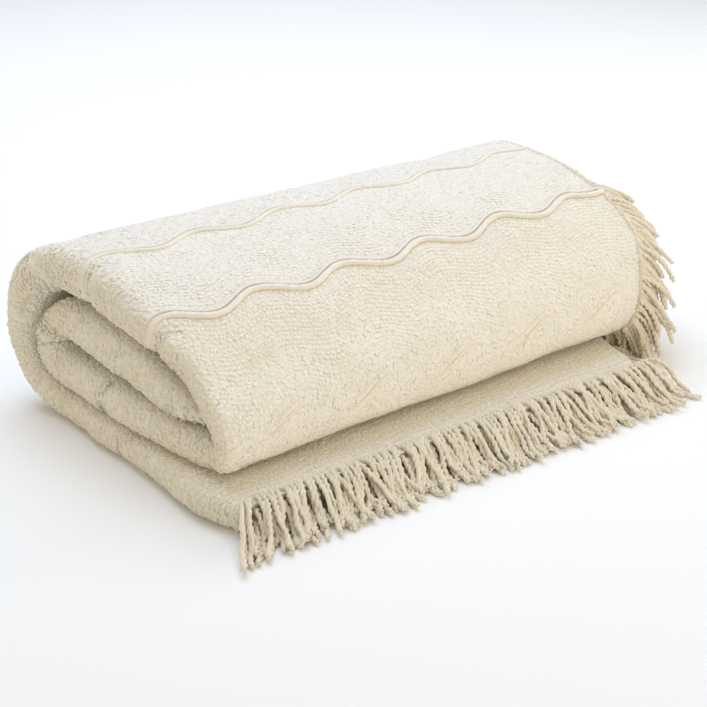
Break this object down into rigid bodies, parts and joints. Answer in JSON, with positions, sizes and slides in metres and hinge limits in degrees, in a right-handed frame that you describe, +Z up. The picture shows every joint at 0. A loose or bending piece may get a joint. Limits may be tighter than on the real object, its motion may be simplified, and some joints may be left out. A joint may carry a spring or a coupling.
{
  "type": "candlewick bedspread",
  "caption": "Cream tufted cotton bedspread with wavy ridges and corded fringe, folded lengthwise and wound into a flat loose roll with a short fringed tail.",
  "frame": {"origin": "middle of the footprint, fringe included, on the surface it lies on", "axes": "+X along the roll towards the fringed end, +Y from the tail to the back, +Z up"},
  "size_m": [0.7335, 0.489, 0.2053],
  "materials": {
    "tufted_cotton": "soft tufted cotton pile, cream",
    "cotton_cord": "twisted cotton cord, ecru"
  },
  "bodies": {
    "root": {"bedspread": "tufted_cotton", "fringe_front_lower": "cotton_cord", "fringe_front_upper": "cotton_cord", "fringe_side": "cotton_cord"}
  },
  "joints": []
}
